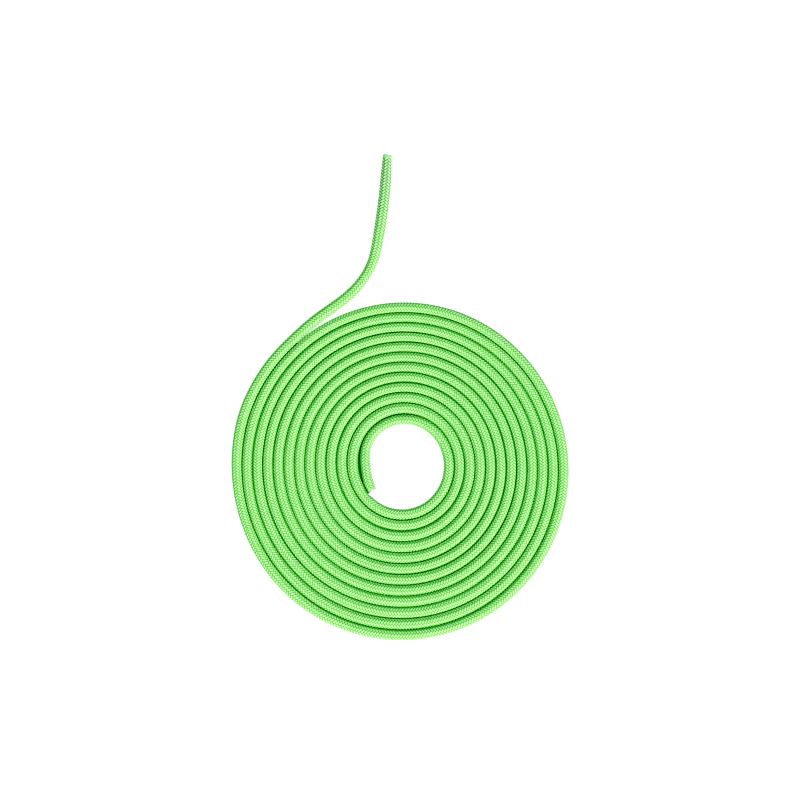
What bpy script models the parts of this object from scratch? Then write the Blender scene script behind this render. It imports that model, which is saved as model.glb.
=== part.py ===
"""Dynamic climbing rope, laid on a flat surface as a round spiral coil with one free tail.

Kernmantle construction: a braided sheath over a bundle of core strands, with a marker tape
in the bundle and both cut ends fused by heat. The coil is one solid of the outer shape of
its turns. The two stretches that leave it, the tail and the inner end, show the rope's build.

Metres, +Z up. The rope lies on z = 0, and x = 0 and y = 0 are halfway across and halfway
along the whole object, whose tail points to +Y.
"""
import math

import bmesh
import bpy
import numpy as np
from mathutils import Vector

# Rope section
ROPE_DIAMETER = 0.010
ROPE_RADIUS = ROPE_DIAMETER / 2
SHEATH_WALL = 0.001
CORE_STRAND_RADIUS = 0.001
CORE_RING_RADIUS = 0.00235
CORE_RING_COUNT = 6
TAPE_WIDTH = 0.0012
TAPE_THICKNESS = 0.0002
TAPE_HEIGHT = 0.0034
FUSED_LENGTH = 0.006
FUSED_BASE_RADIUS = 0.0049
FUSED_FACE_RADIUS = 0.0043
FUSED_RIM = 0.0006
FUSED_RIM_STEPS = 3
GAP = 0.0003
ROPE_ROUNDNESS = 4
STRAND_ROUNDNESS = 2

# Coil, placed on the whole object's own axes
COIL_CENTRE = Vector((0.0, -0.072, 0.0))
COIL_OUTER_RADIUS = 0.1631
HOLE_CENTRE = COIL_CENTRE + Vector((0.0014, 0.0048, 0.0))
HOLE_RADIUS = 0.0411
CUT_PAST_COIL = 0.002
COIL_STEPS = 96
EDGE_STEPS = 8
END_STEPS = 24
WELD_DISTANCE = 0.000001
AXIS_MERGE = 0.00001

# Spiral of the rope's centreline: clockwise seen from above, from the inner end outwards,
# about a centre that drifts a little each turn, and slightly oval. The outermost turns lie
# a little further towards -Y
START_ANGLE = math.radians(221.5)
START_RADIUS = 0.0396
TURN_PITCH = 0.01015
SPIRAL_CENTRE = COIL_CENTRE + Vector((0.0034, 0.0075, 0.0))
SPIRAL_DRIFT = Vector((-0.00007, -0.00039, 0.0))
OVAL_RADIUS = 0.0013
OVAL_ANGLE = math.radians(94)
OUTER_SHIFT = Vector((0.0003, -0.0011, 0.0))
OUTER_SHIFT_TURN = 9.0
OUTER_SHIFT_TURNS = 2.0
INNER_STRETCH_TURNS = 0.375
INNER_STRETCH_KNOTS = 25
TAIL_START_TURN = 12.10
LAST_TURN = 12.15

# The inner end springs straight at its cut, and lies clear of its neighbour just before it
END_SPRING = 0.0017
END_SPRING_TURNS = 0.035
END_SLACK = 0.0026
END_SLACK_TURN = 0.10
END_SLACK_TURNS = 0.08

# The innermost turns lie a little further in on one side, and the outermost one dips in
# where the tail begins
INNER_DENT = 0.0036
INNER_DENT_TURN = 0.36
INNER_DENT_TURNS = 0.18
INNER_DENT_FADE = 0.8
OUTER_DIP = 0.0008
OUTER_DIP_TURN = 12.07
OUTER_DIP_TURNS = 0.05

# Route of the tail past the coil, in metres from the coil's centre
TAIL_ROUTE = [
    (-0.148, 0.064), (-0.141, 0.079), (-0.1328, 0.0929), (-0.1236, 0.1057), (-0.1023, 0.1283),
    (-0.0794, 0.1482), (-0.0544, 0.1662), (-0.0428, 0.1768), (-0.0334, 0.1891),
    (-0.0263, 0.2027), (-0.022, 0.2189), (-0.0194, 0.2339), (-0.0152, 0.2639),
    (-0.0135, 0.282), (-0.0119, 0.307),
]
TAIL_SPACING = 0.015
INNER_SPACING = 0.006
SPIRAL_LEAD_TURN = 0.02

SHEATH_GREEN = (0.22, 0.72, 0.13, 1.0)
FUSED_GREEN = (0.10, 0.42, 0.07, 1.0)
CORE_WHITE = (0.86, 0.85, 0.80, 1.0)
TAPE_YELLOW = (0.90, 0.70, 0.10, 1.0)


def new_collection(name):
    collection = bpy.data.collections.new(name)
    bpy.context.scene.collection.children.link(collection)
    return collection


def plain_material(name, color, roughness):
    material = bpy.data.materials.new(name)
    material.use_nodes = True
    shader = material.node_tree.nodes["Principled BSDF"]
    shader.inputs["Base Color"].default_value = color
    shader.inputs["Roughness"].default_value = roughness
    shader.inputs["Metallic"].default_value = 0.0
    material.diffuse_color = color
    return material


def spiral_point(turn):
    """Centreline of the coiled rope, turn counted from the inner end."""
    angle = START_ANGLE - math.tau * turn
    radius = START_RADIUS + TURN_PITCH * turn
    radius += OVAL_RADIUS * math.cos(2 * (angle - OVAL_ANGLE))
    radius += END_SPRING * math.exp(-turn / END_SPRING_TURNS)
    radius -= END_SLACK * math.exp(-((turn - END_SLACK_TURN) / END_SLACK_TURNS) ** 2)
    from_dent = (turn - INNER_DENT_TURN + 0.5) % 1 - 0.5
    dent = math.exp(-(from_dent / INNER_DENT_TURNS) ** 2) * math.exp(-turn / INNER_DENT_FADE)
    radius -= INNER_DENT * dent
    radius -= OUTER_DIP * math.exp(-((turn - OUTER_DIP_TURN) / OUTER_DIP_TURNS) ** 2)
    shifted = min(max((turn - OUTER_SHIFT_TURN) / OUTER_SHIFT_TURNS, 0.0), 1.0)
    centre = SPIRAL_CENTRE + SPIRAL_DRIFT * turn + OUTER_SHIFT * shifted
    return centre + Vector((radius * math.cos(angle), radius * math.sin(angle), ROPE_RADIUS))


def smooth_curve(points, spacing):
    """Evenly spaced points on the natural cubic spline through the given points."""
    knots = np.array([tuple(point) for point in points])
    steps = np.linalg.norm(np.diff(knots, axis=0), axis=1)
    along = np.concatenate(([0.0], np.cumsum(steps)))
    count = len(knots)
    system = np.eye(count)
    right = np.zeros((count, 3))
    for i in range(1, count - 1):
        before = steps[i - 1]
        after = steps[i]
        system[i, i - 1:i + 2] = (before, 2 * (before + after), after)
        right[i] = 6 * ((knots[i + 1] - knots[i]) / after - (knots[i] - knots[i - 1]) / before)
    bends = np.linalg.solve(system, right)
    number = round(along[-1] / spacing)
    result = []
    for place in np.linspace(0.0, along[-1], number + 1):
        i = min(int(np.searchsorted(along, place, side="right")) - 1, count - 2)
        length = steps[i]
        a = (along[i + 1] - place) / length
        b = 1 - a
        bend = ((a ** 3 - a) * bends[i] + (b ** 3 - b) * bends[i + 1]) * length ** 2 / 6
        result.append(Vector(a * knots[i] + b * knots[i + 1] + bend))
    return result


def tail_centreline():
    """From where the rope leaves the coil to where its fused end begins."""
    lead_turns = np.arange(TAIL_START_TURN, LAST_TURN, SPIRAL_LEAD_TURN)
    knots = [spiral_point(turn) for turn in lead_turns]
    knots += [COIL_CENTRE + Vector((x, y, ROPE_RADIUS)) for x, y in TAIL_ROUTE]
    return smooth_curve(knots, TAIL_SPACING)


def inner_centreline():
    """From where the rope leaves the coil's inner wall to its cut end."""
    turns = np.linspace(INNER_STRETCH_TURNS, 0.0, INNER_STRETCH_KNOTS)
    return smooth_curve([spiral_point(turn) for turn in turns], INNER_SPACING)


def shorten(points, length):
    """The route without its last length, and the direction that it ends in."""
    points = [point.copy() for point in points]
    while (points[-1] - points[-2]).length < length:
        length -= (points[-1] - points[-2]).length
        points.pop()
    direction = (points[-1] - points[-2]).normalized()
    points[-1] = points[-1] - direction * length
    return points, direction


def beside(points, sideways, up):
    """The same route, moved across the rope."""
    result = []
    for i, point in enumerate(points):
        before = points[max(i - 1, 0)]
        after = points[min(i + 1, len(points) - 1)]
        along = (after - before).normalized()
        across = Vector((-along.y, along.x, 0.0))
        result.append(point + across * sideways + Vector((0.0, 0.0, up)))
    return result


def route_curve(name, points, collection):
    data = bpy.data.curves.new(name, "CURVE")
    data.dimensions = "3D"
    data.twist_mode = "Z_UP"
    spline = data.splines.new("POLY")
    spline.points.add(len(points) - 1)
    for spline_point, point in zip(spline.points, points):
        spline_point.co = (*point, 1.0)
    tube = bpy.data.objects.new(name, data)
    collection.objects.link(tube)
    return tube


def round_tube(name, points, radius, resolution, collection, capped=True):
    tube = route_curve(name, points, collection)
    tube.data.bevel_depth = radius
    tube.data.bevel_resolution = resolution
    tube.data.use_fill_caps = capped
    return tube


def as_mesh(curve_object):
    """The curve's evaluated surface as a mesh object, with its caps welded on."""
    name = curve_object.name
    collection = curve_object.users_collection[0]
    bpy.context.view_layer.update()
    evaluated = curve_object.evaluated_get(bpy.context.evaluated_depsgraph_get())
    mesh = bpy.data.meshes.new_from_object(evaluated)
    matrix = curve_object.matrix_world.copy()
    bpy.data.objects.remove(curve_object)
    weld_mesh(mesh)
    solid = bpy.data.objects.new(name, mesh)
    solid.matrix_world = matrix
    collection.objects.link(solid)
    return solid


def weld_mesh(mesh):
    work = bmesh.new()
    work.from_mesh(mesh)
    bmesh.ops.remove_doubles(work, verts=work.verts, dist=WELD_DISTANCE)
    bmesh.ops.recalc_face_normals(work, faces=work.faces)
    work.to_mesh(mesh)
    work.free()


def turned(name, profile, steps, collection):
    """A solid of revolution about its own Z axis, from an (x, z) profile, top to bottom."""
    mesh = bpy.data.meshes.new(name)
    edges = [(i, i + 1) for i in range(len(profile) - 1)]
    mesh.from_pydata([(x, 0.0, z) for x, z in profile], edges, [])
    solid = bpy.data.objects.new(name, mesh)
    collection.objects.link(solid)
    screw = solid.modifiers.new("Turn", "SCREW")
    screw.steps = steps
    screw.render_steps = steps
    screw.use_merge_vertices = True
    screw.merge_threshold = AXIS_MERGE
    return solid


def arc(centre_x, centre_z, radius, start, end, steps):
    """Points of a profile's rounded edge, angles in degrees from +X towards +Z."""
    points = []
    for i in range(steps + 1):
        angle = math.radians(start + (end - start) * i / steps)
        points.append((centre_x + radius * math.cos(angle), centre_z + radius * math.sin(angle)))
    return points


def cut(solid, cutter):
    cutter.display_type = "WIRE"
    cutter.hide_render = True
    boolean = solid.modifiers.new("Cut " + cutter.name, "BOOLEAN")
    boolean.operation = "DIFFERENCE"
    boolean.solver = "EXACT"
    boolean.object = cutter


def clearance_tube(name, points, cutters):
    """The room that a stretch of rope takes in the coil's wall, with its gap all round."""
    back = (points[0] - points[1]).normalized() * GAP
    route = [points[0] + back] + points
    return as_mesh(round_tube(name, route, ROPE_RADIUS + GAP, ROPE_ROUNDNESS, cutters))


def coiled_turns(parts, cutters, material, tail_route, inner_route):
    edge = arc(COIL_OUTER_RADIUS - ROPE_RADIUS, ROPE_RADIUS, ROPE_RADIUS, 90, -90, EDGE_STEPS)
    coil = turned("coiled_turns", [(0.0, ROPE_DIAMETER)] + edge + [(0.0, 0.0)], COIL_STEPS, parts)
    coil.location = COIL_CENTRE

    wall = arc(HOLE_RADIUS + ROPE_RADIUS, ROPE_RADIUS, ROPE_RADIUS, 90, 270, EDGE_STEPS)
    rim = HOLE_RADIUS + ROPE_RADIUS
    above = ROPE_DIAMETER + CUT_PAST_COIL
    below = -CUT_PAST_COIL
    profile = [(0.0, above), (rim, above)] + wall + [(rim, below), (0.0, below)]
    hole = turned("coil_hole", profile, COIL_STEPS, cutters)
    hole.location = HOLE_CENTRE
    cut(coil, hole)
    cut(coil, clearance_tube("tail_room", tail_route, cutters))
    cut(coil, clearance_tube("inner_end_room", inner_route, cutters))
    coil.data.materials.append(material)
    return coil


def sheath(name, points, collection, material):
    """The braided cover, a tube open at both ends."""
    tube = round_tube(name, points, ROPE_RADIUS, ROPE_ROUNDNESS, collection, capped=False)
    cover = as_mesh(tube)
    cover.data.shade_smooth()
    wall = cover.modifiers.new("Wall", "SOLIDIFY")
    wall.thickness = SHEATH_WALL
    wall.offset = -1.0
    wall.use_rim = True
    cover.data.materials.append(material)
    return cover


def core_strands(prefix, points, collection, material):
    """One strand in the middle and a ring of strands around it."""
    places = [(0.0, 0.0)]
    for i in range(CORE_RING_COUNT):
        angle = math.tau * i / CORE_RING_COUNT
        places.append((CORE_RING_RADIUS * math.cos(angle), CORE_RING_RADIUS * math.sin(angle)))
    for number, (sideways, up) in enumerate(places, start=1):
        route = beside(points, sideways, up)
        name = f"{prefix}_core_strand_{number}"
        strand = round_tube(name, route, CORE_STRAND_RADIUS, STRAND_ROUNDNESS, collection)
        strand.data.materials.append(material)


def tape_outline(cutters):
    """The marker tape's cross-section, which its ribbon is swept from."""
    data = bpy.data.curves.new("tape_section", "CURVE")
    data.dimensions = "2D"
    spline = data.splines.new("POLY")
    half_width = TAPE_WIDTH / 2
    half_thickness = TAPE_THICKNESS / 2
    corners = [(1, 1), (-1, 1), (-1, -1), (1, -1)]
    spline.points.add(len(corners) - 1)
    for point, (x, y) in zip(spline.points, corners):
        point.co = (x * half_width, y * half_thickness, 0.0, 1.0)
    spline.use_cyclic_u = True
    outline = bpy.data.objects.new("tape_section", data)
    outline.hide_render = True
    outline.display_type = "WIRE"
    cutters.objects.link(outline)
    return outline


def marker_tape(name, points, outline, collection, material):
    ribbon = route_curve(name, beside(points, 0.0, TAPE_HEIGHT), collection)
    ribbon.data.bevel_mode = "OBJECT"
    ribbon.data.bevel_object = outline
    ribbon.data.use_fill_caps = True
    ribbon = as_mesh(ribbon)
    ribbon.data.materials.append(material)
    return ribbon


def fused_end(name, face_point, direction, collection, material):
    """The melted tip of the rope, drawn in a little towards its flat cut face."""
    rim_radius = FUSED_FACE_RADIUS - FUSED_RIM
    rim = arc(rim_radius, FUSED_LENGTH - FUSED_RIM, FUSED_RIM, 90, 0, FUSED_RIM_STEPS)
    profile = [(0.0, FUSED_LENGTH)] + rim + [(FUSED_BASE_RADIUS, 0.0), (0.0, 0.0)]
    tip = turned(name, profile, END_STEPS, collection)
    tip.rotation_euler = direction.to_track_quat("Z", "Y").to_euler()
    tip.location = face_point - direction * FUSED_LENGTH
    tip.data.materials.append(material)
    return tip


def rope_stretch(prefix, route, outline, parts, materials):
    """Every piece of the rope along one stretch that lies outside the coil."""
    body, direction = shorten(route, FUSED_LENGTH + GAP)
    sheath(f"{prefix}_sheath", body, parts, materials["sheath"])
    core_strands(prefix, body, parts, materials["core"])
    marker_tape(f"{prefix}_marker_tape", body, outline, parts, materials["tape"])
    face_point = body[-1] + direction * (FUSED_LENGTH + GAP)
    fused_end(f"{prefix}_fused_tip", face_point, direction, parts, materials["fused"])


def main():
    for item in list(bpy.data.objects):
        bpy.data.objects.remove(item)
    parts = new_collection("climbing_rope")
    cutters = new_collection("cutters")
    materials = {
        "sheath": plain_material("sheath_nylon", SHEATH_GREEN, 0.75),
        "fused": plain_material("fused_nylon", FUSED_GREEN, 0.35),
        "core": plain_material("core_nylon", CORE_WHITE, 0.7),
        "tape": plain_material("marker_tape", TAPE_YELLOW, 0.4),
    }
    tail_route = tail_centreline()
    inner_route = inner_centreline()
    outline = tape_outline(cutters)
    coiled_turns(parts, cutters, materials["sheath"], tail_route, inner_route)
    rope_stretch("tail", tail_route, outline, parts, materials)
    rope_stretch("inner_end", inner_route, outline, parts, materials)


main()
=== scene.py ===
"""Looks of the dynamic climbing rope: one braided sheath from end to end, its two melted tips,
and the twisted yarns and marker tape inside.

Metres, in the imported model's frame. The rope lies on z = 0 as a flat spiral with a free tail.
"""
import math

import bpy
import numpy as np
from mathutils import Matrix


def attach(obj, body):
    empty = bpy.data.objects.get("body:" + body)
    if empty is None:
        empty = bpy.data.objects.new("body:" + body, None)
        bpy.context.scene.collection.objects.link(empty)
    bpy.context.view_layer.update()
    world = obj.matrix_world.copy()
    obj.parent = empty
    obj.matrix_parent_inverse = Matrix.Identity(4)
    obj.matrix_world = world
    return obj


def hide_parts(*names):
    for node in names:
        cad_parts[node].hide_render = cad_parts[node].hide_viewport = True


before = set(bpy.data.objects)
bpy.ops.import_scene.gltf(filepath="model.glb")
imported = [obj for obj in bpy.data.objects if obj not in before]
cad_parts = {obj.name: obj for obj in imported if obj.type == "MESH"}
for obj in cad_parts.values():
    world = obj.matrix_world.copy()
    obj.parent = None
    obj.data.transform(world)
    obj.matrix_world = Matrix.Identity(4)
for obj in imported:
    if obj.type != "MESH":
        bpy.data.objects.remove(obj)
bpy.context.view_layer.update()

# Rope section and route, the same as the CAD model's. Turns are counted from the inner end.
ROPE_DIAMETER = 0.010
ROPE_RADIUS = ROPE_DIAMETER / 2
COIL_CENTRE = np.array((0.0, -0.072, 0.0))
START_ANGLE = math.radians(221.5)
START_RADIUS = 0.0396
TURN_PITCH = 0.01015
SPIRAL_CENTRE = COIL_CENTRE + np.array((0.0034, 0.0075, 0.0))
SPIRAL_DRIFT = np.array((-0.00007, -0.00039, 0.0))
OVAL_RADIUS = 0.0013
OVAL_ANGLE = math.radians(94)
LAST_TURN = 12.15
OUTER_SHIFT = np.array((0.0003, -0.0011, 0.0))
OUTER_SHIFT_TURN = 9.0
OUTER_SHIFT_TURNS = 2.0
END_SPRING = 0.0017
END_SPRING_TURNS = 0.035
END_SLACK = 0.0026
END_SLACK_TURN = 0.10
END_SLACK_TURNS = 0.08
INNER_DENT = 0.0036
INNER_DENT_TURN = 0.36
INNER_DENT_TURNS = 0.18
INNER_DENT_FADE = 0.8
OUTER_DIP = 0.0008
OUTER_DIP_TURN = 12.07
OUTER_DIP_TURNS = 0.05
TAIL_ROUTE = [
    (-0.148, 0.064), (-0.141, 0.079), (-0.1328, 0.0929), (-0.1236, 0.1057), (-0.1023, 0.1283),
    (-0.0794, 0.1482), (-0.0544, 0.1662), (-0.0428, 0.1768), (-0.0334, 0.1891),
    (-0.0263, 0.2027), (-0.022, 0.2189), (-0.0194, 0.2339), (-0.0152, 0.2639),
    (-0.0135, 0.282), (-0.0119, 0.307),
]
KNOTS_PER_TURN = 40
FINE_STEP = 0.0005

# Braid: eight flat bundles of yarn lean each way, and each passes over two and under two
BUNDLES = 8
CELL_STEPS = 3
FLOAT_CELLS = 2
WEAVE_REPEAT = 2 * FLOAT_CELLS
LATTICE = 2 * BUNDLES * CELL_STEPS
ROW_POINTS = LATTICE // 2
FLOAT_PERIOD = 0.00284
PERIOD_DRIFT = 0.015
PERIOD_DRIFT_RATE = 17.0
TAIL_PERIOD = 0.0030
TAIL_PERIOD_LENGTH = 0.10
YARNS_PER_BUNDLE = 3
RELIEF = 0.00075
FLOAT_CROWN = 0.86
FLOAT_DIVE = 0.62
FLOAT_DIVE_POWER = 2.6
FLOAT_SHADE = 0.65
BUNDLE_SHADE = 0.35
TWIST_PER_METRE = math.radians(70)
SEED = 7

# Half widths of the rope: free, near the inner end, along the tail as (distance from its tip,
# reach, change), and pressed flat against the next turn
FREE_WIDTH = 0.0055
INNER_WIDTH = 0.00505
INNER_WIDTH_LENGTH = 0.35
TAIL_WIDTHS = [(0.060, 0.036, 0.0004), (0.120, 0.014, -0.00034)]
PRESS = 0.00006
PRESSED_WIDTH = 0.0053
PRESSED_FADE = 0.0003
# Where on a pressed side the painted shade between the turns begins
CREVICE_START = 0.86
CONTACT_STEP = 0.003
CONTACT_APART = 0.05
FAR = 1.0

# Cut ends: the sheath narrows and goes into a lumpy melted tip
TAIL_TAPER = 0.18
TAIL_TAPER_LENGTH = 0.021
INNER_TAPER = 0.07
INNER_TAPER_LENGTH = 0.008
MELT_FADE = 0.002
TAIL_TIP_LENGTH = 0.0028
INNER_TIP_LENGTH = 0.0012
SHEATH_IN_TIP = 0.5
MELT_SINK = 0.2
MELT_RELIEF = 0.6
END_CAP_VALUE = 0.5
WEAR_LENGTH = 0.13
MELTED_SEGMENTS = 72
MELTED_RINGS = [
    (0.0, 0.95), (0.2, 0.985), (0.45, 1.0), (0.7, 0.99), (0.85, 0.965), (0.95, 0.92),
    (1.0, 0.86), (0.985, 0.78), (0.965, 0.70), (0.955, 0.58), (0.96, 0.42), (0.955, 0.24),
]
RIM_LUMPS = [(0.018, 5, 1.0), (0.012, 11, -1.7), (0.010, 17, 2.3)]
FACE_LUMP = 0.05
FACE_LUMP_WAVES = 3
FACE_LUMP_TURN = 0.8
MELTED_FACE = 0.95
MELTED_BASE = 0.2

# Colours of the sheath, by the height of the weave, with painted shade in the weave's holes and along
# the floats' edges and painted shade between the turns, and what tints them
HOLE_PAINTED_SHADE = (0.006, 0.09, 0.003, 1.0)
EDGE_PAINTED_SHADE = (0.18, 0.41, 0.145, 1.0)
SHOULDER_LIME = (0.405, 0.81, 0.335, 1.0)
CROWN_LIME = (0.455, 0.89, 0.385, 1.0)
WEAVE_LIME_AND_PAINTED_SHADE = [(0.18, HOLE_PAINTED_SHADE), (0.42, EDGE_PAINTED_SHADE), (0.64, SHOULDER_LIME), (0.93, CROWN_LIME)]
# Dark green tint of the painted shade between turns that press together
CREVICE_PAINTED_SHADE = (0.03, 0.52, 0.02, 1.0)
DARK_SHADE = (0.84, 0.91, 0.84, 1.0)
LIGHT_SHADE = (1.0, 1.0, 1.0, 1.0)
WORN_SHADE = (1.08, 0.87, 1.20, 1.0)
WORN_GROOVE = (0.62, 0.56, 0.70, 1.0)
WORN_COLOURS = [(0.30, WORN_GROOVE), (0.75, WORN_SHADE)]
FIBRE_SHADOW = (0.10, 0.48, 0.05, 1.0)
FIBRE_SHADOW_SHARE = 0.22
FIBRES_ACROSS = 30.0
FIBRES_ALONG = 2.2
FIBRES_PER_SHADE = 50.0
FIBRE_RISE = 0.5
YARN_SLOPE = 4.0
YARN_ROUNDNESS = 0.4
SHEEN_LIME = (0.55, 1.0, 0.35, 1.0)

# Colours of the melted tips, from the middle of the face to the rim, and of the pieces inside
MELTED_COLOURS = [
    (0.60, (0.62, 0.60, 0.42, 1.0)), (0.80, (0.36, 0.40, 0.22, 1.0)),
    (0.94, (0.16, 0.26, 0.11, 1.0)), (1.0, (0.27, 0.56, 0.24, 1.0)),
]
BLOTCH_SHARE = 0.22
YARN_COLOURS = [(0.1, (0.58, 0.57, 0.52, 1.0)), (0.7, (0.86, 0.85, 0.81, 1.0))]
YARN_LAY = 2.0
PLIES_PER_METRE = 900.0
TAPE_COLOURS = [(0.3, (0.72, 0.52, 0.06, 1.0)), (0.7, (0.92, 0.74, 0.14, 1.0))]

# Floor: white to the camera, with a dark green sheet of painted shade where the coil covers it, from
# turn to turn and beside the tail
FLOOR_SIZE = 8.0
FLOOR_LEVEL = -0.0001
FLOOR_WHITE = (0.45, 0.45, 0.45, 1.0)
FLOOR_GLOW = 0.93
GLOW_COLOUR = (1.0, 1.0, 1.0, 1.0)
COVERED_PAINTED_SHADE = (0.01, 0.34, 0.01, 1.0)
COVERED_STEPS = 120
COVERED_SWEEP = 1.01
COVERED_TURNS = 11
WEDGE_TURN = 0.254
WEDGE_START = 0.4725
WEDGE_END = 0.213
WEDGE_STEPS = 40

# Light, tone and camera
SKY_STRENGTH = 0.72
SKY_COLOUR = (0.86, 1.0, 0.97, 1.0)
BACKDROP_WHITE = (1.5, 1.5, 1.5, 1.0)
KEY_STRENGTH = 4.15
KEY_COLOUR = (1.0, 0.94, 0.82)
KEY_SPREAD = math.radians(45)
KEY_AZIMUTH = -60
KEY_ELEVATION = 38
TONE_CURVE = [
    (0.05, 0.010), (0.1, 0.038), (0.2, 0.16), (0.3, 0.29), (0.45, 0.49), (0.7, 0.77), (0.85, 0.89),
]
COMBINED_CURVE = 3
CAMERA_HEIGHT = 4.0
CAMERA_AIM = (0.0003, -0.0033)
FRAME_WIDTH = 0.7768
SENSOR_WIDTH = 36.0
VIEW_END = 100.0


def spiral_point(turn):
    """Centreline of the coiled rope, turn counted from the inner end."""
    turn = np.asarray(turn, dtype=float)[:, None]
    angle = START_ANGLE - math.tau * turn
    radius = START_RADIUS + TURN_PITCH * turn
    radius = radius + OVAL_RADIUS * np.cos(2 * (angle - OVAL_ANGLE))
    radius = radius + END_SPRING * np.exp(-turn / END_SPRING_TURNS)
    radius = radius - END_SLACK * np.exp(-((turn - END_SLACK_TURN) / END_SLACK_TURNS) ** 2)
    from_dent = (turn - INNER_DENT_TURN + 0.5) % 1 - 0.5
    dent = np.exp(-(from_dent / INNER_DENT_TURNS) ** 2) * np.exp(-turn / INNER_DENT_FADE)
    radius = radius - INNER_DENT * dent
    radius = radius - OUTER_DIP * np.exp(-((turn - OUTER_DIP_TURN) / OUTER_DIP_TURNS) ** 2)
    around = np.hstack((radius * np.cos(angle), radius * np.sin(angle), 0 * angle))
    shifted = np.clip((turn - OUTER_SHIFT_TURN) / OUTER_SHIFT_TURNS, 0.0, 1.0)
    centre = SPIRAL_CENTRE + SPIRAL_DRIFT * turn + OUTER_SHIFT * shifted
    return centre + around + (0.0, 0.0, ROPE_RADIUS)


def natural_spline(knots, spacing):
    """Points about spacing apart on the natural cubic spline through the knots."""
    steps = np.linalg.norm(np.diff(knots, axis=0), axis=1)
    along = np.concatenate(([0.0], np.cumsum(steps)))
    count = len(knots)
    system = np.eye(count)
    right = np.zeros((count, 3))
    for i in range(1, count - 1):
        before = steps[i - 1]
        after = steps[i]
        system[i, i - 1:i + 2] = (before, 2 * (before + after), after)
        right[i] = 6 * ((knots[i + 1] - knots[i]) / after - (knots[i] - knots[i - 1]) / before)
    bends = np.linalg.solve(system, right)
    place = np.linspace(0.0, along[-1], round(along[-1] / spacing) + 1)
    i = np.clip(np.searchsorted(along, place, side="right") - 1, 0, count - 2)
    length = steps[i][:, None]
    a = (along[i + 1] - place)[:, None] / length
    b = 1 - a
    bend = ((a ** 3 - a) * bends[i] + (b ** 3 - b) * bends[i + 1]) * length ** 2 / 6
    return a * knots[i] + b * knots[i + 1] + bend


def rope_centreline():
    """The whole rope, from its inner end through every turn to the tip of its tail."""
    turns = np.arange(0.0, LAST_TURN, 1 / KNOTS_PER_TURN)
    tail = [COIL_CENTRE + np.array((x, y, ROPE_RADIUS)) for x, y in TAIL_ROUTE]
    return natural_spline(np.vstack((spiral_point(turns), tail)), FINE_STEP)


def distances(points):
    """Length along a line of points, at each point."""
    return np.concatenate(([0.0], np.cumsum(np.linalg.norm(np.diff(points, axis=0), axis=1))))


def smooth_step(value):
    """0 to 1 with a soft start and a soft end."""
    value = np.clip(value, 0.0, 1.0)
    return value * value * (3 - 2 * value)


class Route:
    """The rope's centreline by length along it."""

    def __init__(self, points):
        self.points = points
        self.along = distances(points)
        self.length = self.along[-1]

    def at(self, place):
        return np.column_stack([np.interp(place, self.along, self.points[:, k]) for k in range(3)])

    def direction(self, place):
        reach = 2 * FINE_STEP
        ahead = self.at(np.clip(place + reach, 0, self.length))
        behind = self.at(np.clip(place - reach, 0, self.length))
        way = ahead - behind
        return way / np.linalg.norm(way, axis=1)[:, None]


def braid_rows(route):
    """Places along the rope of the braid lattice's rows, further apart near the tail's tip."""
    fine = route.along
    period = FLOAT_PERIOD * (1 + PERIOD_DRIFT * np.sin(fine * PERIOD_DRIFT_RATE))
    near_tip = smooth_step(1 - (route.length - fine) / TAIL_PERIOD_LENGTH)
    period = period + (TAIL_PERIOD - FLOAT_PERIOD) * near_tip
    steps = np.diff(fine) / (0.5 * (period[1:] + period[:-1]))
    rows = np.concatenate(([0.0], np.cumsum(steps))) * 2 * CELL_STEPS
    count = 2 * (int(rows[-1]) // 2) + 1
    places = np.interp(np.arange(count) * rows[-1] / (count - 1), rows, fine)
    start = SHEATH_IN_TIP * INNER_TIP_LENGTH
    end = route.length - SHEATH_IN_TIP * TAIL_TIP_LENGTH
    return start + places * (end - start) / route.length


def across_rope(way):
    """The level direction to the left of the way along the rope, which is outwards in the coil."""
    return np.column_stack((-way[:, 1], way[:, 0], np.zeros(len(way))))


def side_widths(route, places, side):
    """Half widths of the rope towards one side: a turn that lies against another is pressed flat
    between the two centrelines, and a free side keeps its round shape."""
    samples = np.linspace(0.0, route.length, round(route.length / CONTACT_STEP) + 1)
    points = route.at(samples)[:, :2]
    way = route.direction(samples)[:, :2]
    sideways = side * np.column_stack((-way[:, 1], way[:, 0]))
    between = points[None, :, :] - points[:, None, :]
    along = np.abs((between * way[:, None, :]).sum(2))
    beside = (between * sideways[:, None, :]).sum(2)
    apart = np.abs(samples[None, :] - samples[:, None])
    other = (along < CONTACT_STEP) & (beside > ROPE_RADIUS) & (apart > CONTACT_APART)
    nearest = np.where(other, beside, FAR).min(1)
    pressed = 1 - smooth_step((nearest / 2 - PRESSED_WIDTH) / PRESSED_FADE)
    free = INNER_WIDTH + (FREE_WIDTH - INNER_WIDTH) * smooth_step(samples / INNER_WIDTH_LENGTH)
    for from_tip, reach, change in TAIL_WIDTHS:
        free = free + change * np.exp(-((route.length - samples - from_tip) / reach) ** 2)
    width = (nearest / 2 + PRESS) * pressed + free * (1 - pressed)
    return np.interp(places, samples, width), np.interp(places, samples, pressed)


def float_height(across, along):
    """Height of one float of a bundle, 1 on its crown; across is 0 to 1 and along is 0 to 2."""
    side = np.sqrt(1 - FLOAT_CROWN * (2 * across - 1) ** 2)
    dive = 1 - FLOAT_DIVE * np.abs(along - 1) ** FLOAT_DIVE_POWER
    return side * dive


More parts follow.
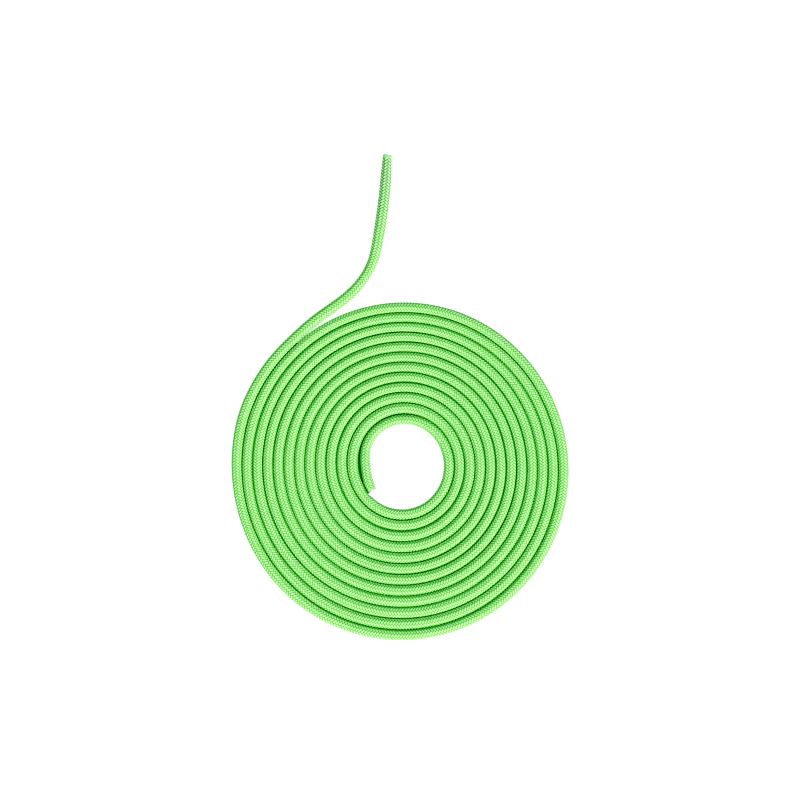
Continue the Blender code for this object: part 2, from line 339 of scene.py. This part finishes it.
def lattice_quads():
    """Row and column offsets of a quad's corners, and its places across and along its float.

    m and n count steps along the two ways that the bundles lean, and i and j are the bundles."""
    rows, columns = np.meshgrid(np.arange(2 * CELL_STEPS), np.arange(LATTICE), indexing="ij")
    even = (rows + columns) % 2 == 0
    rows = rows[even]
    columns = columns[even]
    m = (rows + columns) // 2
    n = (rows - columns) // 2
    i = m // CELL_STEPS
    j = n // CELL_STEPS
    lean = (i - j) % WEAVE_REPEAT
    over = lean < FLOAT_CELLS
    corners = [(0, 0, 0, 0), (1, 1, 1, 0), (2, 0, 1, 1), (1, -1, 0, 1)]
    result = []
    for row_step, column_step, a_step, b_step in corners:
        a = (m + a_step) / CELL_STEPS
        b = (n + b_step) / CELL_STEPS
        across = np.where(over, a - i, b - j)
        along = np.where(over, b - j + (lean == 0), a - i + (lean == WEAVE_REPEAT - 1))
        result.append((rows + row_step, columns + column_step, across, along))
    return rows, columns, over, i, j, result


def height_table():
    """The braid's relief at each point of its repeating lattice."""
    table = np.ones((2 * CELL_STEPS, LATTICE))
    for rows, columns, across, along in lattice_quads()[-1]:
        place = (rows % (2 * CELL_STEPS), columns % LATTICE)
        np.minimum.at(table, place, float_height(across, along))
    return table


def sheath_points(route, places):
    """Points of the braided surface, row by row, with the relief of each."""
    count = len(places)
    rows = np.arange(count)
    columns = 2 * np.arange(ROW_POINTS)[None, :] + (rows % 2)[:, None]
    relief = height_table()[(rows % (2 * CELL_STEPS))[:, None], columns]
    from_tip = route.length - places
    from_melt = np.minimum(places - INNER_TIP_LENGTH, from_tip - TAIL_TIP_LENGTH)
    melt = smooth_step(from_melt / MELT_FADE)[:, None]
    taper = 1 - TAIL_TAPER * np.clip(1 - from_tip / TAIL_TAPER_LENGTH, 0, 1)
    taper = taper * (1 - INNER_TAPER * np.clip(1 - places / INNER_TAPER_LENGTH, 0, 1))
    radius = ROPE_RADIUS * taper[:, None] - RELIEF * (1 - relief) * melt
    radius = radius - MELT_SINK * RELIEF * (1 - melt)
    angle = math.tau * columns / LATTICE + (TWIST_PER_METRE * places)[:, None]
    sideways = across_rope(route.direction(places))
    outer, outer_pressed = side_widths(route, places, 1)
    inner, inner_pressed = side_widths(route, places, -1)
    outwards = np.cos(angle) > 0
    width = np.where(outwards, outer[:, None], inner[:, None]) / ROPE_RADIUS
    pressed = np.where(outwards, outer_pressed[:, None], inner_pressed[:, None])
    # Painted shade on the sides where a turn is pressed against the next
    painted_crevice_shade = pressed * smooth_step((np.abs(np.cos(angle)) - CREVICE_START) / (1 - CREVICE_START))
    centre = route.at(places)
    points = centre[:, None, :] + sideways[:, None, :] * (radius * width * np.cos(angle))[:, :, None]
    points[:, :, 2] += radius * np.sin(angle)
    relief = relief * melt + MELT_RELIEF * (1 - melt)
    return points.reshape(-1, 3), relief.reshape(-1), painted_crevice_shade.reshape(-1)


def sheath_faces(count):
    """Quads of the lattice, with their places on their floats and a shade for each float."""
    shades = np.random.default_rng(SEED)
    repeat = 2 * CELL_STEPS
    rows, columns, over, i, j, corners = lattice_quads()
    blocks = np.arange(0, count, repeat)
    faces = []
    places = []
    for row_offset, column_offset, across, along in corners:
        row = blocks[:, None] + row_offset[None, :]
        column = (column_offset % LATTICE)[None, :] // 2
        faces.append((row * ROW_POINTS + column).reshape(-1))
        pair = np.stack((np.broadcast_to(across, row.shape), np.broadcast_to(along, row.shape)), -1)
        places.append(pair.reshape(-1, 2))
    first = (blocks[:, None] + rows[None, :]).reshape(-1)
    keep = first + 2 < count
    faces = np.stack(faces, 1)[keep]
    places = np.stack(places, 1)[keep]
    number = blocks[:, None] // repeat + np.where(over, i, j)[None, :]
    bundle = number % BUNDLES + BUNDLES * over[None, :]
    float_shades = shades.random((BUNDLES, number.max() + 1))
    bundle_shades = shades.random(2 * BUNDLES)
    shade = FLOAT_SHADE * float_shades[((i - j) // 2 % BUNDLES)[None, :], number]
    shade = shade + BUNDLE_SHADE * bundle_shades[bundle]
    return faces, places, shade.reshape(-1)[keep]


def end_caps(count, points, route):
    """Triangles that close the two ends, which the melted tips cover."""
    first = np.arange(ROW_POINTS)
    following = (first + 1) % ROW_POINTS
    start_centre = len(points)
    last_row = (count - 1) * ROW_POINTS
    notch = (count - 2) * ROW_POINTS
    shift = (count - 1) % 2
    faces = [np.column_stack((first, following, first + ROW_POINTS))]
    faces.append(np.column_stack((following, first, np.full(ROW_POINTS, start_centre))))
    between = notch + (following if shift else first)
    faces.append(np.column_stack((last_row + following, last_row + first, between)))
    faces.append(np.column_stack((last_row + first, last_row + following,
                                  np.full(ROW_POINTS, start_centre + 1))))
    centres = route.at(np.array((0.0, route.length)))
    return np.vstack((points, centres)), np.vstack(faces)


def make_mesh(name, points, quads, triangles):
    """A smooth mesh from arrays of quads and triangles."""
    mesh = bpy.data.meshes.new(name)
    mesh.vertices.add(len(points))
    mesh.vertices.foreach_set("co", points.reshape(-1))
    loops = np.concatenate((quads.reshape(-1), triangles.reshape(-1)))
    mesh.loops.add(len(loops))
    mesh.loops.foreach_set("vertex_index", loops.astype(np.int32))
    sizes = np.concatenate((np.full(len(quads), 4), np.full(len(triangles), 3)))
    mesh.polygons.add(len(sizes))
    mesh.polygons.foreach_set("loop_start", (np.cumsum(sizes) - sizes).astype(np.int32))
    mesh.update(calc_edges=True)
    mesh.validate()
    mesh.shade_smooth()
    return mesh


def new_piece(name, mesh, material):
    """A piece that rides on the part's one body."""
    piece = bpy.data.objects.new(name, mesh)
    bpy.context.scene.collection.objects.link(piece)
    piece.data.materials.append(material)
    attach(piece, "root")
    return piece


def braided_sheath(route, material):
    """The sheath from end to end, with what its material reads stored on the mesh."""
    places = braid_rows(route)
    points, relief, painted_crevice_shade = sheath_points(route, places)
    quads, float_places, shade = sheath_faces(len(places))
    points, triangles = end_caps(len(places), points, route)
    mesh = make_mesh("rope_sheath", points, quads, triangles)
    worn = np.repeat(1 - smooth_step((route.length - places) / WEAR_LENGTH), ROW_POINTS)
    for name, values in (("relief", relief), ("painted_crevice_shade", painted_crevice_shade), ("worn", worn)):
        values = np.concatenate((values, (END_CAP_VALUE, END_CAP_VALUE)))
        mesh.attributes.new(name, "FLOAT", "POINT").data.foreach_set("value", values)
    corners = np.full((len(mesh.loops), 3), END_CAP_VALUE)
    corners[:4 * len(quads), :2] = float_places.reshape(-1, 2)
    corners[:4 * len(quads), 2] = np.repeat(shade, 4)
    place = mesh.attributes.new("float_place", "FLOAT_VECTOR", "CORNER")
    place.data.foreach_set("vector", corners.reshape(-1))
    return new_piece("rope_sheath", mesh, material)


class Nodes:
    """Short calls for building a material's node tree."""

    def __init__(self, name):
        self.material = bpy.data.materials.new(name)
        self.material.use_nodes = True
        self.tree = self.material.node_tree
        self.shader = self.tree.nodes["Principled BSDF"]

    def link(self, source, target):
        self.tree.links.new(source, target)

    def attribute(self, name, output="Fac"):
        node = self.tree.nodes.new("ShaderNodeAttribute")
        node.attribute_name = name
        return node.outputs[output]

    def place(self):
        return self.tree.nodes.new("ShaderNodeTexCoord").outputs["Object"]

    def math(self, operation, first, second=None, third=None):
        node = self.tree.nodes.new("ShaderNodeMath")
        node.operation = operation
        for socket, value in zip(node.inputs, (first, second, third)):
            self.feed(socket, value)
        return node.outputs[0]

    def feed(self, socket, value):
        if value is None:
            return
        if isinstance(value, bpy.types.NodeSocket):
            self.link(value, socket)
        else:
            socket.default_value = value

    def mix(self, factor, first, second, blend="MIX"):
        node = self.tree.nodes.new("ShaderNodeMix")
        node.data_type = "RGBA"
        node.blend_type = blend
        self.feed(node.inputs["Factor"], factor)
        self.feed(node.inputs["A"], first)
        self.feed(node.inputs["B"], second)
        return node.outputs["Result"]

    def tint(self, colour, shade):
        return self.mix(1.0, colour, shade, "MULTIPLY")

    def combine(self, x, y, z):
        node = self.tree.nodes.new("ShaderNodeCombineXYZ")
        for socket, value in zip(node.inputs, (x, y, z)):
            self.feed(socket, value)
        return node.outputs[0]

    def separate(self, vector):
        node = self.tree.nodes.new("ShaderNodeSeparateXYZ")
        self.link(vector, node.inputs[0])
        return node.outputs

    def noise(self, vector, scale, detail):
        node = self.tree.nodes.new("ShaderNodeTexNoise")
        self.feed(node.inputs["Vector"], vector)
        node.inputs["Scale"].default_value = scale
        node.inputs["Detail"].default_value = detail
        return node.outputs["Fac"]

    def ramp(self, factor, stops):
        node = self.tree.nodes.new("ShaderNodeValToRGB")
        elements = node.color_ramp.elements
        elements[0].position, elements[0].color = stops[0]
        elements[1].position, elements[1].color = stops[-1]
        for position, color in stops[1:-1]:
            elements.new(position).color = color
        self.link(factor, node.inputs["Fac"])
        return node.outputs["Color"]

    def bump(self, height, distance, strength):
        node = self.tree.nodes.new("ShaderNodeBump")
        node.inputs["Strength"].default_value = strength
        node.inputs["Distance"].default_value = distance
        self.link(height, node.inputs["Height"])
        self.link(node.outputs["Normal"], self.shader.inputs["Normal"])

    def set(self, **values):
        for name, value in values.items():
            self.feed(self.shader.inputs[name.replace("_", " ")], value)


def sheath_material():
    """Lime nylon with painted shade in the weave's holes and between the turns, greyer where it is worn.
    """
    n = Nodes("sheath_braid_nylon")
    relief = n.attribute("relief")
    across, along, shade = n.separate(n.attribute("float_place", "Vector"))
    # Lime on the crowns of the floats, darkened towards the holes and the floats' edges as painted shade
    colour = n.ramp(relief, WEAVE_LIME_AND_PAINTED_SHADE)
    colour = n.tint(colour, n.mix(shade, DARK_SHADE, LIGHT_SHADE))
    worn = n.attribute("worn")
    dirt = n.ramp(relief, WORN_COLOURS)
    colour = n.mix(worn, colour, n.tint(colour, dirt))
    # Painted shade between the turns, where they press together
    painted_crevice_shade = n.attribute("painted_crevice_shade")
    colour = n.mix(painted_crevice_shade, colour, n.tint(colour, CREVICE_PAINTED_SHADE))
    yarn = n.math("PINGPONG", n.math("MULTIPLY", across, float(YARNS_PER_BUNDLE)), 0.5)
    fibre_place = n.combine(n.math("MULTIPLY", across, FIBRES_ACROSS),
                            n.math("MULTIPLY", along, FIBRES_ALONG),
                            n.math("MULTIPLY", shade, FIBRES_PER_SHADE))
    fibres = n.noise(fibre_place, scale=1.0, detail=2.0)
    groove = n.math("SMOOTH_MIN", n.math("MULTIPLY", yarn, YARN_SLOPE), 1.0, YARN_ROUNDNESS)
    colour = n.mix(n.math("MULTIPLY", fibres, FIBRE_SHADOW_SHARE), colour, FIBRE_SHADOW)
    n.set(Base_Color=colour, Roughness=0.75, Sheen_Weight=0.08, Sheen_Roughness=0.4,
          Sheen_Tint=SHEEN_LIME, Specular_IOR_Level=0.12)
    n.bump(n.math("MULTIPLY_ADD", fibres, FIBRE_RISE, groove), distance=0.00008, strength=0.8)
    return n.material


def melted_points(base, way, length, size):
    """Points of a melted end, ring by ring, from inside the rope round the rim and onto the face."""
    sideways = np.array((-way[1], way[0], 0.0))
    angles = math.tau * np.arange(MELTED_SEGMENTS) / MELTED_SEGMENTS
    rings = []
    for number, (height, width) in enumerate(MELTED_RINGS):
        lumps = 0.0
        for share, waves, turn in RIM_LUMPS:
            lumps = lumps + share * np.sin(waves * angles + turn * number)
        radius = width * (1 + lumps)
        wave = np.sin(FACE_LUMP_WAVES * angles + FACE_LUMP_TURN * number)
        rise = length * (height + FACE_LUMP * wave)
        across = size[0] * radius * np.cos(angles)
        ring = base + way * rise[:, None] + sideways * across[:, None]
        ring[:, 2] += size[1] * radius * np.sin(angles)
        rings.append(ring)
    return np.vstack(rings)


def melted_faces():
    """Quads between the rings, and triangles that close the face and the hidden base."""
    first = np.arange(MELTED_SEGMENTS)
    following = (first + 1) % MELTED_SEGMENTS
    quads = []
    for number in range(len(MELTED_RINGS) - 1):
        low = number * MELTED_SEGMENTS
        quads.append(np.column_stack((low + first, low + following,
                                      low + MELTED_SEGMENTS + following, low + MELTED_SEGMENTS + first)))
    top = (len(MELTED_RINGS) - 1) * MELTED_SEGMENTS
    face_centre = np.full(MELTED_SEGMENTS, top + MELTED_SEGMENTS)
    triangles = np.vstack((
        np.column_stack((top + first, top + following, face_centre)),
        np.column_stack((following, first, face_centre + 1)),
    ))
    return np.vstack(quads), triangles


def melted_tip(name, route, from_start, length, size, material):
    """A cut end whose sheath and core are melted together: a lumpy rim round a flat face."""
    end = np.array((0.0 if from_start else route.length,))
    way = route.direction(end)[0] * (-1 if from_start else 1)
    base = route.at(end)[0] - way * length
    points = melted_points(base, way, length, size)
    points = np.vstack((points, base + way * length * MELTED_FACE, base + way * length * MELTED_BASE))
    quads, triangles = melted_faces()
    if from_start:
        quads = quads[:, ::-1]
        triangles = triangles[:, ::-1]
    mesh = make_mesh(name, points, quads, triangles)
    widths = np.array([width for height, width in MELTED_RINGS])
    melt = np.concatenate((np.repeat(widths, MELTED_SEGMENTS), (0.0, 1.0)))
    mesh.attributes.new("melt", "FLOAT", "POINT").data.foreach_set("value", melt)
    return new_piece(name, mesh, material)


def melted_material():
    """Melted nylon: pale in the middle of the face, dark and then green towards the rim."""
    n = Nodes("melted_nylon")
    melt = n.attribute("melt")
    blotches = n.noise(n.place(), scale=900.0, detail=3.0)
    edge = n.math("MULTIPLY_ADD", blotches, BLOTCH_SHARE, melt)
    colour = n.ramp(edge, MELTED_COLOURS)
    n.set(Base_Color=colour, Roughness=n.math("MULTIPLY_ADD", blotches, 0.3, 0.22))
    n.bump(blotches, distance=0.0002, strength=0.7)
    return n.material


def yarn_material():
    """White core yarn, laid up of fine twisted plies."""
    n = Nodes("core_yarn_nylon")
    place = n.place()
    x, y, z = n.separate(place)
    lay = n.math("ADD", n.math("ADD", x, y), n.math("MULTIPLY", z, YARN_LAY))
    plies = n.math("PINGPONG", n.math("MULTIPLY", lay, PLIES_PER_METRE), 0.5)
    fibres = n.noise(place, scale=2600.0, detail=2.0)
    shade = n.math("MULTIPLY_ADD", fibres, FIBRE_RISE, plies)
    n.set(Base_Color=n.ramp(shade, YARN_COLOURS), Roughness=0.6, Sheen_Weight=0.2)
    n.bump(shade, distance=0.0001, strength=0.8)
    return n.material


def tape_material():
    """Thin coloured film with fine creases."""
    n = Nodes("marker_film")
    creases = n.noise(n.place(), scale=700.0, detail=3.0)
    colour = n.ramp(creases, TAPE_COLOURS)
    n.set(Base_Color=colour, Roughness=n.math("MULTIPLY_ADD", creases, 0.3, 0.2))
    n.bump(creases, distance=0.00005, strength=0.6)
    return n.material


def dress_inner_nodes():
    """New materials for the core strands and the tape, which keep their CAD shapes."""
    yarn = yarn_material()
    tape = tape_material()
    kept = []
    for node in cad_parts:
        if "core_strand" in node or "marker_tape" in node:
            piece = bpy.data.objects[node]
            for slot in piece.material_slots:
                slot.material = yarn if "core_strand" in node else tape
            kept.append(piece)
    return kept


def floor_strip(inside, outside):
    """Points and quads of a strip of floor between two lines of as many points."""
    points = np.vstack((inside, outside))
    points[:, 2] = 0.0
    first = np.arange(len(inside) - 1)
    after = first + len(inside)
    return points, np.column_stack((first, first + 1, after + 1, after))


def painted_shade_floor(route):
    """A sheet of painted shade on the floor where the coil covers it: from the middle of the first turn
    to the middle of the last, and on between the last turn and the tail."""
    turns = np.linspace(0.0, COVERED_SWEEP, COVERED_STEPS + 1)
    points, quads = floor_strip(spiral_point(turns), spiral_point(turns + COVERED_TURNS))
    leaving = COVERED_TURNS + np.linspace(0.0, WEDGE_TURN, WEDGE_STEPS + 1)
    last = route.length - np.linspace(WEDGE_START, WEDGE_END, WEDGE_STEPS + 1)
    more_points, more_quads = floor_strip(spiral_point(leaving), route.at(last))
    quads = np.vstack((quads, more_quads + len(points)))
    points = np.vstack((points, more_points))
    mesh = make_mesh("painted_shade_floor", points, quads, np.zeros((0, 3), int))
    n = Nodes("painted_shade_floor")
    # Dark green painted shade, standing for the coil's shadow on the floor
    n.set(Base_Color=COVERED_PAINTED_SHADE, Roughness=0.9, Specular_IOR_Level=0.0)
    mesh.materials.append(n.material)
    patch = bpy.data.objects.new("painted_shade_floor", mesh)
    bpy.context.scene.collection.objects.link(patch)
    return patch


def seen_by_camera(tree):
    """1 where the camera looks at the floor or the sky itself, and 0 where they light the rope."""
    return tree.nodes.new("ShaderNodeLightPath").outputs["Is Camera Ray"]


def white_floor():
    """A floor whose glow makes it even white to the camera, and doesn't light the rope."""
    bpy.ops.mesh.primitive_plane_add(size=FLOOR_SIZE, location=(0.0, 0.0, FLOOR_LEVEL))
    floor = bpy.context.object
    floor.name = "floor"
    n = Nodes("studio_floor")
    glow = n.math("MULTIPLY", seen_by_camera(n.tree), FLOOR_GLOW)
    n.set(Base_Color=FLOOR_WHITE, Roughness=0.9, Specular_IOR_Level=0.1,
          Emission_Color=GLOW_COLOUR, Emission_Strength=glow)
    floor.data.materials.append(n.material)


def soft_sky():
    """Soft light from all round, with a white backdrop for the camera."""
    world = bpy.data.worlds.new("studio")
    world.use_nodes = True
    tree = world.node_tree
    background = tree.nodes["Background"]
    background.inputs["Strength"].default_value = SKY_STRENGTH
    backdrop = tree.nodes.new("ShaderNodeMix")
    backdrop.data_type = "RGBA"
    backdrop.inputs["A"].default_value = SKY_COLOUR
    backdrop.inputs["B"].default_value = BACKDROP_WHITE
    tree.links.new(seen_by_camera(tree), backdrop.inputs["Factor"])
    tree.links.new(backdrop.outputs["Result"], background.inputs["Color"])
    bpy.context.scene.world = world


def key_light():
    """A broad key light from the lower right of the picture."""
    key = bpy.data.lights.new("key", "SUN")
    key.energy = KEY_STRENGTH
    key.angle = KEY_SPREAD
    key.color = KEY_COLOUR
    lamp = bpy.data.objects.new("key", key)
    lamp.rotation_euler = (math.radians(90 - KEY_ELEVATION), 0.0, math.radians(90 + KEY_AZIMUTH))
    bpy.context.scene.collection.objects.link(lamp)


def tone():
    """The photo's stronger contrast, as a curve on all three channels."""
    settings = bpy.context.scene.view_settings
    settings.view_transform = "Standard"
    mapping = settings.curve_mapping
    settings.use_curve_mapping = True
    curve = mapping.curves[COMBINED_CURVE]
    for light, shown in TONE_CURVE:
        curve.points.new(light, shown)
    mapping.update()


def studio(route):
    """Floor, light and tone, none of which is part of the object."""
    white_floor()
    painted_shade_floor(route)
    soft_sky()
    key_light()
    tone()


def camera():
    """Straight above the rope, with the tail at the top of the picture."""
    data = bpy.data.cameras.new("camera")
    data.sensor_width = SENSOR_WIDTH
    data.lens = data.sensor_width * CAMERA_HEIGHT / FRAME_WIDTH
    data.clip_end = VIEW_END
    holder = bpy.data.objects.new("camera", data)
    holder.location = (*CAMERA_AIM, CAMERA_HEIGHT + ROPE_RADIUS)
    bpy.context.scene.collection.objects.link(holder)
    bpy.context.scene.camera = holder


route = Route(rope_centreline())
camera()
studio(route)
sheath = braided_sheath(route, sheath_material())
melted = melted_material()
inner_size = (INNER_WIDTH * (1 - INNER_TAPER), ROPE_RADIUS * (1 - INNER_TAPER))
inner_tip = melted_tip("inner_end_melted_tip", route, True, INNER_TIP_LENGTH, inner_size, melted)
tail_size = (FREE_WIDTH * (1 - TAIL_TAPER), ROPE_RADIUS * (1 - TAIL_TAPER))
tail_tip = melted_tip("tail_melted_tip", route, False, TAIL_TIP_LENGTH, tail_size, melted)
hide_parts("coiled_turns", "tail_sheath", "inner_end_sheath")
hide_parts("inner_end_fused_tip")
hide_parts("tail_fused_tip")
inside = dress_inner_nodes()
